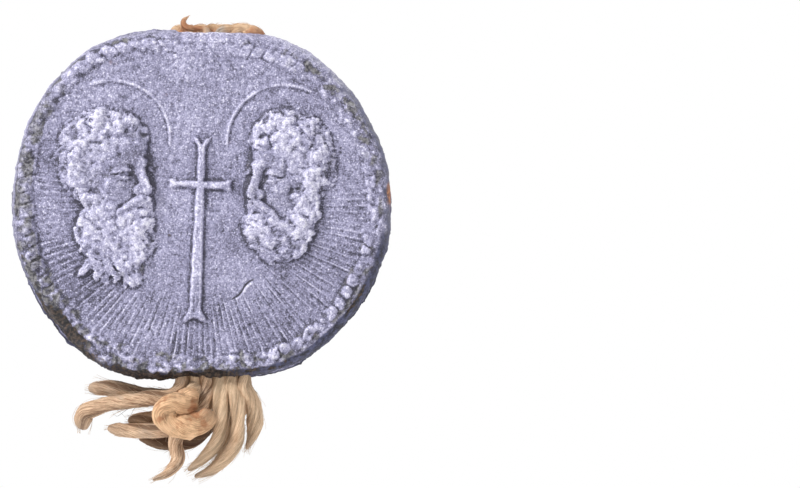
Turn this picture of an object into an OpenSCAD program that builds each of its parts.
// Hanging lead seal: two struck lead plates close on a flat bundle of twelve hemp yarns.
// The yarns stand out as short cut ends above the lead and hang loose below it.
// Frame: +X right, +Y back and +Z up, seen from the front face. The origin lies on the axis
// of the yarn channel, where the yarns leave the upper edge. All lengths are millimetres.

/* [Lead plates] */
// Diameter of the lead before its edge is drawn in at the two mouths
disc_d = 42; // [37:0.5:46]
// Thickness of one plate, from the parting plane to its flat field
plate_t = 2.5; // [2.2:0.1:3.4]
// How far the edge rounds inward from the parting plane to the field
rim_round = 1.2; // [0.6:0.1:2]
// How far the outline is drawn in at the upper and lower mouth
mouth_flat = 1.8; // [0.5:0.1:3]
// Half width of the drawn-in arc, in degrees
mouth_spread = 21; // [14:1:30]
// Unevenness of the struck outline
lobe = 0.2; // [0:0.05:0.5]
// Sideways shift of the disc's centre from the yarn channel
disc_shift = -1.4; // [-3:0.1:3]
// Depth of the open cleft between the plates, at the lower left of the front
cleft_d = 0.9; // [0:0.05:1]

/* [Yarns] */
// Diameter of a yarn pressed in the channel
yarn_d = 1.3; // [1:0.05:1.5]
// Free space between pressed yarns
yarn_gap = 0.1; // [0.05:0.01:0.2]
// How far the closed channel squeezes the outer side of each yarn
grip = 0.03; // [0.01:0.01:0.06]
// Diameter of a yarn where it hangs loose
tail_d = 1.5; // [1.1:0.05:1.6]
// Diameter of the folded yarn that makes the knuckle in front of the tassel
knuckle_d = 1.9; // [1.5:0.05:2]
// Length of the cut ends above the upper mouth
stub_h = 0.7; // [0.5:0.1:2.5]
// Unevenness of the cut ends
stub_ragged = 0.3; // [0:0.05:0.4]
// Bare space from the lower mouth to the loose tails, where the yarns bend
neck_gap = 0.95; // [0.9:0.05:1.4]

/* [Front relief] */
// Diameter of a border bead
bead_d = 1.5; // [1.2:0.05:1.7]
// Height of the beads over the field
bead_rise = 0.45; // [0.3:0.05:0.6]
// Number of bead places round the border
bead_count = 72; // [60:1:80]
// Height of the tall cross
cross_h = 20.2; // [16:0.2:22]
// Width across the arms of the cross
cross_w = 6.8; // [5:0.2:8]
// Width of the bars of the cross
cross_bar = 0.9; // [0.6:0.05:1.3]
// Height of the cross over the field
cross_rise = 0.6; // [0.3:0.05:0.9]
// Radius of the ring behind each head
halo_r = 6.3; // [5.5:0.1:6.8]
// Thickness of that ring
halo_w = 0.8; // [0.5:0.05:1]
// Height of the heads over the field
head_rise = 1.4; // [0.8:0.05:1.8]
// Half width of the heads
head_half_w = 5.3; // [4.4:0.1:5.6]

/* [Back relief] */
// Height of wreath, bird and ornaments over the field
back_rise = 0.5; // [0.3:0.05:0.7]
// Length of one heart-shaped leaf of the wreath
leaf_l = 2.2; // [1.5:0.05:2.4]
// Number of leaves left of the wreath
leaf_count = 22; // [14:1:24]
// Size of one ornament in the three rows
ornament_w = 5.6; // [4.4:0.1:6]
// Distance from row to row
row_pitch = 8.2; // [6.5:0.1:8.6]

/* [Hidden] */
$fn = 32;
yarn_cols = 6;
yarn_pitch = yarn_d + yarn_gap;
slot_w = yarn_cols * yarn_d + (yarn_cols - 1) * yarn_gap - 2 * grip;
slot_h = 2 * yarn_d + yarn_gap - 2 * grip;
outline_sides = 90;
rim_rings = 5;
// Angle from the disc's centre to the channel's axis at the upper mouth
mouth_a = acos(-disc_shift / (disc_d / 2 - mouth_flat));
disc_z = -lead_r(mouth_a) * sin(mouth_a);
mouth_z = disc_z - lead_r(-mouth_a) * sin(mouth_a);
border_inset = rim_round + bead_d / 2 + 0.15;
// Axis across which the tails swing, below the lower mouth
hinge_z = mouth_z - neck_gap + 0.05;
lead_colour = "#9c99b0";
stain_colour = "#8c8aa3";
hemp_colour = "#c69d74";

// Routes of the loose tails, from the first point at the lower mouth: right, back, up
// Back row from left to right, then front row from left to right
tails = [
    [[-3.5, 0.7, 0], [-4.5, 0.9, -1.1], [-6.8, 1.1, -1.1], [-9.4, 1.1, -0.5], [-11.6, 1.1, -0.2],
        [-13.8, 1, -0.2]],
    [[-2.1, 0.7, 0], [-2.8, 0.9, -1.8], [-4.6, 1, -3.1], [-6.9, 0.9, -3.7], [-9.4, 0.7, -3.8]],
    [[-0.7, 0.7, 0], [-0.9, 0.9, -2.1], [-2.3, 0.6, -3.9], [-4.8, 0.1, -4.7], [-7.4, -0.4, -4.9],
        [-9.8, -0.5, -4.8], [-11.6, -0.5, -4.6]],
    [[0.7, 0.7, 0], [0.6, 1.5, -2.1], [-0.2, 2.1, -4.2], [-2, 2.4, -5.8], [-4.4, 2.4, -6.3],
        [-6.6, 2.3, -6.2], [-8.2, 2.2, -5.9]],
    [[2.1, 0.7, 0], [2.1, 0.6, -2.1], [2.1, 0.5, -4.2], [1.9, 0.4, -6.3], [0.9, 0.4, -8.1],
        [-0.6, 0.5, -9.4], [-2, 0.6, -10]],
    [[3.5, 0.7, 0], [3.2, 2.2, -1.9], [1.7, 3.3, -3.6], [-0.4, 3.9, -4.4], [-2.8, 4.1, -4.7],
        [-5, 4.1, -4.6]],
    [[-3.5, -0.7, 0], [-4.8, -1.1, -1.1], [-7.3, -1.2, -1.3], [-9.8, -1.2, -1.7], [-12.2, -1, -2.1],
        [-14.2, -0.8, -3], [-14.4, -0.7, -4.7]],
    [[-2.1, -0.7, 0], [-2.4, -2.4, -1], [-3.2, -3.6, -1.8], [-4.5, -3.9, -2], [-5.4, -4, -3],
        [-4.4, -4, -4.1], [-2.6, -4, -4.2], [-0.9, -4, -3.7], [-0.4, -4.1, -2.5]],
    [[-0.7, -0.7, 0], [-1.4, -1.2, -2], [-3.1, -1.4, -3.9], [-4.1, -1.4, -6], [-3.9, -1.3, -8],
        [-5, -1.2, -9.5], [-6.6, -1.1, -10.3]],
    [[0.7, -0.7, 0], [0.8, -1.3, -2], [0.9, -1.6, -4.1], [0.4, -1.6, -6.1], [-0.9, -1.4, -7.8],
        [-2.7, -1.1, -9.2]],
    [[2.1, -0.7, 0], [2.6, -1.2, -1.9], [2.8, -1.6, -3.9], [2.5, -1.7, -6], [1.5, -1.7, -7.8],
        [0.2, -1.6, -9.1], [-1.3, -1.4, -9.9]],
    [[3.5, -0.7, 0], [4.3, -0.5, -1.4], [4.6, -0.3, -3.2], [4.4, -0.1, -5.2], [3.7, 0.1, -6.9]]
];
// Place in the list of the tail that folds into the knuckle
knuckle = 7;
yarns = [for (i = [1 : len(tails)]) str("yarn_", i < 10 ? "0" : "", i)];

// The same angle, from -180 to 180 degrees
function turn(a) = a - 360 * round(a / 360);

// A smooth bump of height 1 over distance d, with half width w
function bump(d, w) = exp(-pow(d / w, 2));

// Radius of the struck outline at angle a from the right
function lead_r(a) = disc_d / 2 - mouth_flat * (bump(turn(a - 90), mouth_spread)
    + bump(turn(a + 90), mouth_spread)) + lobe * cos(3 * a);

// Point at radius r and angle a
function at(r, a) = [r * cos(a), r * sin(a)];

// Centre of yarn i in the channel, back row first
function yarn_x(i) = (i % yarn_cols - (yarn_cols - 1) / 2) * yarn_pitch;
function yarn_y(i) = (i < yarn_cols ? 1 : -1) * yarn_pitch / 2;

// Puts a plate, drawn face up about the disc's centre, on the front or on the back
module facing_front() {
    translate([disc_shift, 0, disc_z])
        rotate([90, 0, 0])
            children();
}

module facing_back() {
    translate([disc_shift, 0, disc_z])
        rotate([90, 0, 180])
            children();
}

// Triangles between stacked rings of n points, closed at both ends
function loft_faces(n, rings) = concat(
    [[for (i = [0 : n - 1]) i]],
    [for (k = [0 : rings - 2]) for (i = [0 : n - 1]) let (j = (i + 1) % n)
        [k * n + i, (k + 1) * n + i, (k + 1) * n + j]],
    [for (k = [0 : rings - 2]) for (i = [0 : n - 1]) let (j = (i + 1) % n)
        [k * n + i, (k + 1) * n + j, k * n + j]],
    [[for (i = [0 : n - 1]) rings * n - 1 - i]]);

// Outline of the plate at a given inset from its widest line, seen on its face, with a cleft cut in
function plate_outline(from_behind, inset, start, cleft = 0) = [for (i = [0 : outline_sides - 1])
    let (a = start + 360 * i / outline_sides)
        at(lead_r(from_behind ? 180 - a : a) - inset - cleft * bump(turn(a - 222), 17), a)];

// Profile of the bulging edge, from the parting plane round to the inside
// Each point: inset, height and share of the cleft
edge_profile = concat(
    [for (k = [0 : rim_rings]) let (t = 80 * k / rim_rings)
        [rim_round * (1 - cos(t)), plate_t * sin(t), k == 0 ? 1 : k == 1 ? 0.7 : 0]],
    [[rim_round + 0.8, plate_t * sin(80), 0], [rim_round + 0.8, 0, 0]]);

// Triangles between rings of n points, the last ring joined to the first
function ring_faces(n, rings) = concat(
    [for (k = [0 : rings - 1]) for (i = [0 : n - 1]) let (j = (i + 1) % n, m = (k + 1) % rings)
        [k * n + i, m * n + i, m * n + j]],
    [for (k = [0 : rings - 1]) for (i = [0 : n - 1]) let (j = (i + 1) % n, m = (k + 1) % rings)
        [k * n + i, m * n + j, k * n + j]]);

// Plain struck plate: a flat field inside a bulging edge
module lead_blank(from_behind) {
    cut = from_behind ? 0 : cleft_d;
    linear_extrude(height = plate_t)
        polygon(plate_outline(from_behind, rim_round, 180 / outline_sides));
    polyhedron(
        points = [for (e = edge_profile)
            for (p = plate_outline(from_behind, e[0], 0, e[2] * cut)) [p[0], p[1], e[1]]],
        faces = ring_faces(outline_sides, len(edge_profile)));
}

// Flat channel for the yarns, with corners round the outer yarns
module channel(x) {
    corner = yarn_d / 2 - grip;
    translate([x, 0, 0])
        rotate([90, 0, 0])
            linear_extrude(height = 2 * disc_d, center = true)
                union() {
                    square([slot_w - 2 * corner, slot_h], center = true);
                    square([slot_w, slot_h - 2 * corner], center = true);
                    for (sx = [-1, 1], sy = [-1, 1])
                        translate([sx * (slot_w / 2 - corner), sy * (slot_h / 2 - corner)])
                            circle(r = corner);
                }
}

// Border of beads, left out where the mouths were pressed flat
module border() {
    for (i = [0 : bead_count - 1]) {
        a = 360 * i / bead_count;
        if (abs(turn(a - 90)) > 16 && abs(turn(a + 90)) > 13)
            translate(concat(at(lead_r(a) - border_inset, a), plate_t + bead_rise - bead_d / 2))
                sphere(d = bead_d, $fn = 24);
    }
}

// One bar of the cross, from the crossing outward, wider at its end
module bar(l, flare) {
    polygon([[-cross_bar / 2, 0], [cross_bar / 2, 0], [cross_bar * 0.42, l - 1.6 * flare],
        [flare, l], [-flare, l], [-cross_bar * 0.42, l - 1.6 * flare]]);
}

module tall_cross() {
    arm = cross_w / 2;
    translate([0, 2.2, plate_t - 0.2])
        rotate([0, 0, -3])
            linear_extrude(height = cross_rise + 0.2)
                union() {
                    bar(cross_h * 0.25, cross_bar * 0.75);
                    rotate([0, 0, 90])
                        bar(arm, cross_bar * 0.7);
                    rotate([0, 0, -90])
                        bar(arm, cross_bar * 0.7);
                    rotate([0, 0, 180])
                        bar(cross_h * 0.75, cross_bar * 1.2);
                }
}

// Part ring behind a head, from angle a0 over the given sweep
module halo(x, y, a0, sweep) {
    translate([x, y, plate_t])
        rotate([0, 0, a0])
            rotate_extrude(angle = sweep, $fn = 96)
                translate([halo_r, 0])
                    circle(d = halo_w, $fn = 16);
}

// Outline of a bearded head at angle t from the way it faces: crown above, beard below.
// A taper of 2 makes the beard round, a higher one fuller and 1 pointed.
function head_r(t, crown, beard, taper) =
    let (n = sin(t) > 0 ? 2.2 : taper, h = sin(t) > 0 ? crown : beard)
        pow(pow(abs(cos(t)) / head_half_w, n) + pow(abs(sin(t)) / h, n), -1 / n)
        + (abs(turn(t)) > 35 ? 0.16 * cos(13 * t) : 0.25 * bump(turn(t + 4), 12));

// Height of brow, eye, nose, cheek, mouth, moustache, hair and beard at u (forward) and v (up)
function face_h(u, v) =
    0.45 * bump(u - 3.9 + 0.2 * v, 0.7) * bump(v - 1.1, 1.5)
    + 0.25 * bump(u - 2.2, 2.2) * bump(v - 3.1, 0.5)
    - 0.35 * bump(u - 1.5, 0.9) * bump(v - 2.1, 0.5)
    + 0.2 * bump(u - 0.8, 1.2) * bump(v - 0.7, 0.9)
    - 0.25 * bump(u - 3.2, 1) * bump(v + 1.8, 0.35)
    + 0.3 * bump(u - 2.4, 1.3) * bump(v + 1 - 0.3 * (u - 3), 0.4)
    + (v < -2.4 ? 0.1 + 0.3 * cos(170 * u + 60 * sin(50 * v)) : 0)
    + (v > 4.9 - 0.25 * abs(u - 1) || u < -1.8 ? 0.15 + 0.3 * cos(150 * u) * cos(150 * v) : 0);

// Head as a domed relief on a polar grid, its skirt sunk into the field and its beard drawn forward
module head(crown, beard, taper) {
    n = 60;
    rings = 14;
    foot = 0.4;
    grid = [for (k = [0 : rings]) for (i = [0 : n - 1])
        let (t = 360 * i / n, s = k == 0 ? 1 : 1 - (k - 1) / rings,
            p = at(head_r(t, crown, beard, taper) * s, t))
        [p[0] + 0.16 * max(0, -p[1]), p[1], plate_t + (k == 0 ? -0.3 : foot + (head_rise - foot)
            * (0.65 * sqrt(1 - pow(s, 3)) + 0.8 * face_w(s) * face_h(p[0], p[1])))]];
    polyhedron(points = grid, faces = loft_faces(n, rings + 1));
}

// Weight of the face's forms, fading toward the head's edge
function face_w(s) = 1 - pow(s, 6);

module lead_front() {
    color(lead_colour)
        facing_front()
            difference() {
                union() {
                    lead_blank(false);
                    border();
                    tall_cross();
                    halo(-9.7, 7.2, -8, 112);
                    halo(9.3, 6.8, 74, 112);
                    translate([-10.5, 1.6, 0])
                        head(8.9, 10.5, 1.7);
                    translate([10, 1.6, 0])
                        mirror([1, 0, 0])
                            head(8.8, 7.6, 2.6);
                }
                channel(-disc_shift);
            }
}

// One heart-shaped leaf, its tip pointing along -y
module leaf() {
    lobe_r = leaf_l * 0.27;
    union() {
        for (sx = [-1, 1])
            translate([sx * lobe_r * 0.85, leaf_l * 0.2])
                circle(r = lobe_r, $fn = 16);
        polygon([[-leaf_l * 0.5, leaf_l * 0.12], [leaf_l * 0.5, leaf_l * 0.12], [0, -leaf_l * 0.55]]);
    }
}

// Wreath of leaves, kept from the upper right round to the lower left
module wreath() {
    r = disc_d / 2 - mouth_flat - rim_round - leaf_l * 0.5 + 0.5;
    step = 8.2;
    for (i = [0 : leaf_count - 1]) {
        a = 46 - step * i;
        place = min(r, lead_r(180 - a) - rim_round - leaf_l * 0.62);
        translate(concat(at(place, a), plate_t - 0.2))
            rotate([0, 0, a])
                linear_extrude(height = back_rise + 0.2)
                    leaf();
    }
}

// Bird with spread wings
module bird() {
    translate([-1, 15, plate_t - 0.2])
        linear_extrude(height = back_rise + 0.2)
            union() {
                polygon([for (i = [0 : 19]) let (a = 18 * i) [0.75 * cos(a), 1.5 * sin(a)]]);
                for (s = [-1, 1])
                    polygon([[s * 0.3, 0.5], [s * 1.3, 1.2], [s * 2.7, 1.1], [s * 2.3, 0.4],
                        [s * 1.5, -0.1], [s * 0.4, -0.5]]);
                polygon([[-0.3, -1], [0.3, -1], [0.9, -2.2], [-0.9, -2.2]]);
            }
}

// Four circles of diameter d in the lobes of a flower
module lobes(d) {
    for (a = [45 : 90 : 315])
        rotate([0, 0, a])
            translate([ornament_w * 0.25, 0])
                circle(d = d, $fn = 24);
}

// Open four-lobed flower with a raised middle
module flower() {
    difference() {
        lobes(ornament_w * 0.48);
        lobes(ornament_w * 0.26);
        circle(d = ornament_w * 0.34, $fn = 24);
    }
    circle(d = ornament_w * 0.26, $fn = 24);
}

// Lozenge that is f times the size of the ornament
module lozenge_area(f) {
    polygon(f * ornament_w * [[0, -0.52], [0.38, 0], [0, 0.52], [-0.38, 0]]);
}

// Open lozenge with a raised middle
module lozenge() {
    difference() {
        lozenge_area(1);
        lozenge_area(0.54);
    }
    circle(d = ornament_w * 0.21, $fn = 24);
}

// Row of ornaments at height y, count of them with the given pitch, flowers and lozenges in turn
module ornament_row(y, count, pitch, first) {
    for (i = [0 : count - 1])
        translate([(i - (count - 1) / 2) * pitch - 0.5, y, plate_t - 0.2])
            linear_extrude(height = back_rise + 0.2)
                if ((i + first) % 2 == 0)
                    flower();
                else
                    lozenge();
}

module lead_back() {
    color(stain_colour)
        facing_back()
            difference() {
                union() {
                    lead_blank(true);
                    wreath();
                    bird();
                    ornament_row(row_pitch * 0.72, 3, 6.4, 0);
                    ornament_row(-row_pitch * 0.34, 4, 5.6, 1);
                    ornament_row(-row_pitch * 1.3, 3, 5.4, 1);
                }
                channel(disc_shift);
            }
}

// Yarn i pressed in the channel, with its cut end above
module yarn_held(i) {
    top = stub_h + stub_ragged * sin(137 * i);
    color(hemp_colour)
        translate([yarn_x(i), yarn_y(i), mouth_z])
            cylinder(d = yarn_d, h = top - mouth_z);
}

// Unit vector along v
function unit(v) = v / norm(v);

// Direction of a route at its point k
function along(p, k) = unit(p[min(k + 1, len(p) - 1)] - p[max(k - 1, 0)]);

// Tail i: a round yarn along its route, narrower at both ends
module yarn_tail(i) {
    n = 8;
    p = concat([[yarn_x(i), yarn_y(i), 0]], [for (k = [1 : len(tails[i]) - 1]) tails[i][k]]);
    last = len(p) - 1;
    rings = [for (k = [0 : last])
        let (t = k == 0 ? [0, 0, -1] : along(p, k), side = unit(cross(t, [0, 1, 0])), up = cross(side, t),
            thick = i == knuckle && k > 1 ? knuckle_d : tail_d,
            r = k == 0 ? yarn_d * 0.44 : thick / 2 * (k == last ? 0.85 : 1))
        for (j = [0 : n - 1]) p[k] + r * (cos(360 * j / n) * side + sin(360 * j / n) * up)];
    color(hemp_colour)
        translate([0, 0, mouth_z - neck_gap])
            polyhedron(points = rings, faces = loft_faces(n, last + 1));
}

lead_front();
lead_back();
for (i = [0 : len(yarns) - 1]) {
    yarn_held(i);
    yarn_tail(i);
}
